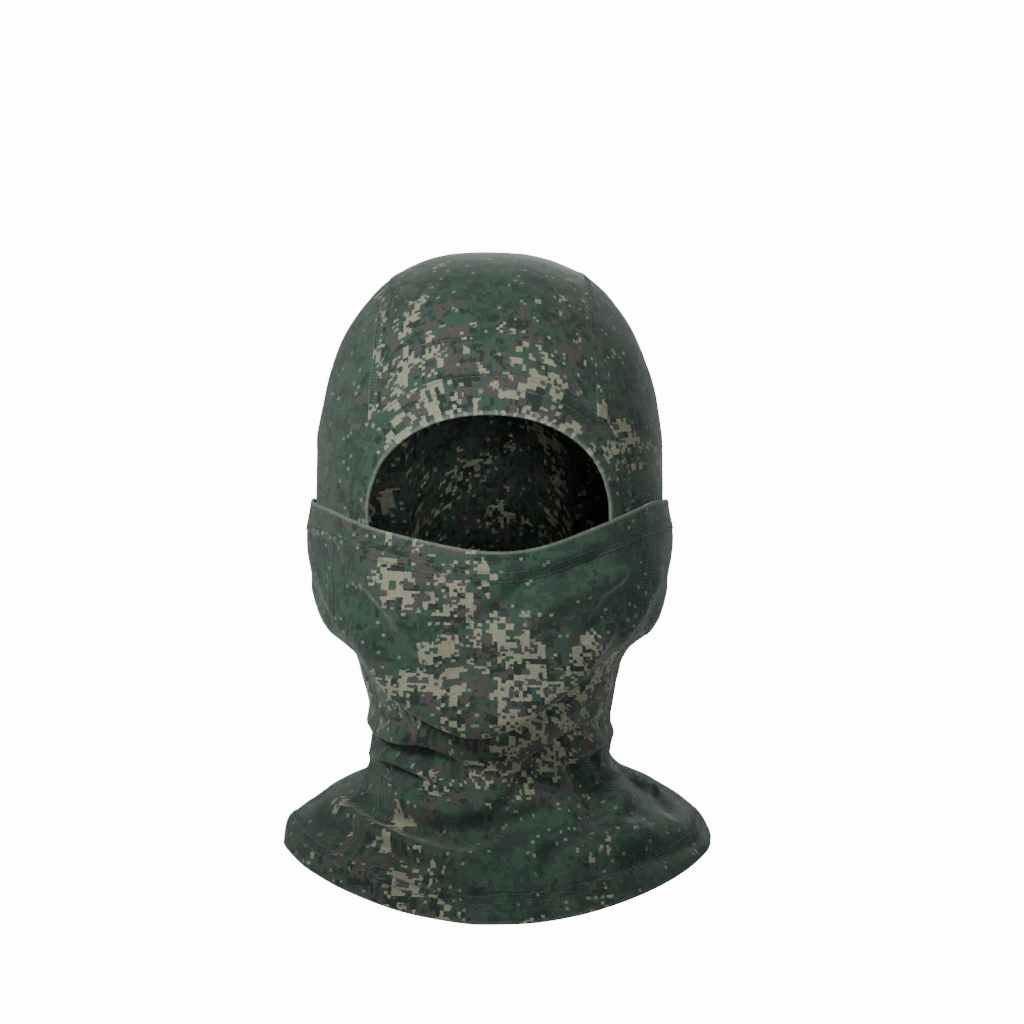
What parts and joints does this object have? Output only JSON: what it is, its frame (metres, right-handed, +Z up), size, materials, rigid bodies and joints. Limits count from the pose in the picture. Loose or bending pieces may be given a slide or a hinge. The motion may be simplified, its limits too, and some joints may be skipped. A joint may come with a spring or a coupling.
{
  "type": "knitted balaclava",
  "caption": "Knitted balaclava: a panelled hood with an oval face opening, inside a pull-up neck gaiter that covers nose, mouth and neck and flares over the shoulders.",
  "frame": {"origin": "centre of the head at ear level, where the head holds the mask", "axes": "+Z up along the head, -Y out of the face opening, +X to the wearer's left"},
  "size_m": [0.2055, 0.206, 0.3052],
  "materials": {
    "camo_knit": "matte",
    "sewing_thread": "matte",
    "knitted_elastic": "matte"
  },
  "bodies": {
    "gaiter": {"gaiter_front_panel": "camo_knit", "gaiter_back_panel": "camo_knit", "side_seam_left": "sewing_thread", "side_seam_right": "sewing_thread", "rear_top_hem": "camo_knit", "rear_top_elastic": "knitted_elastic", "rear_top_hem_stitching": "sewing_thread", "bottom_hem": "camo_knit", "bottom_hem_stitching": "sewing_thread", "crown_panel": "camo_knit", "crown_seam_left": "sewing_thread", "crown_seam_right": "sewing_thread", "hood_side_panel_left": "camo_knit", "hood_side_panel_right": "camo_knit", "cheek_hem_left": "camo_knit", "cheek_hem_right": "camo_knit", "cheek_hem_stitching_left": "sewing_thread", "cheek_hem_stitching_right": "sewing_thread", "neck_join_seam": "camo_knit"},
    "face_cover": {"face_cover_hem": "camo_knit", "face_cover_elastic": "knitted_elastic", "face_cover_hem_stitching": "sewing_thread"},
    "brow": {"brow_hem": "camo_knit", "brow_elastic": "knitted_elastic", "brow_hem_stitching": "sewing_thread"}
  },
  "joints": [
    {"name": "face_cover_pull", "type": "slide", "parent": "gaiter", "child": "face_cover", "axis": [0, 0, -1], "range_m": [0, 0.075], "deforming": ["gaiter_front_panel"]},
    {"name": "hood_push_back", "type": "hinge", "parent": "gaiter", "child": "brow", "pos_m": [0, 0, 0.015], "axis": [-1, 0, 0], "range_deg": [0, 38], "deforming": ["crown_panel", "crown_seam_left", "crown_seam_right", "hood_side_panel_left", "hood_side_panel_right", "cheek_hem_left", "cheek_hem_right", "cheek_hem_stitching_left", "cheek_hem_stitching_right"]}
  ]
}
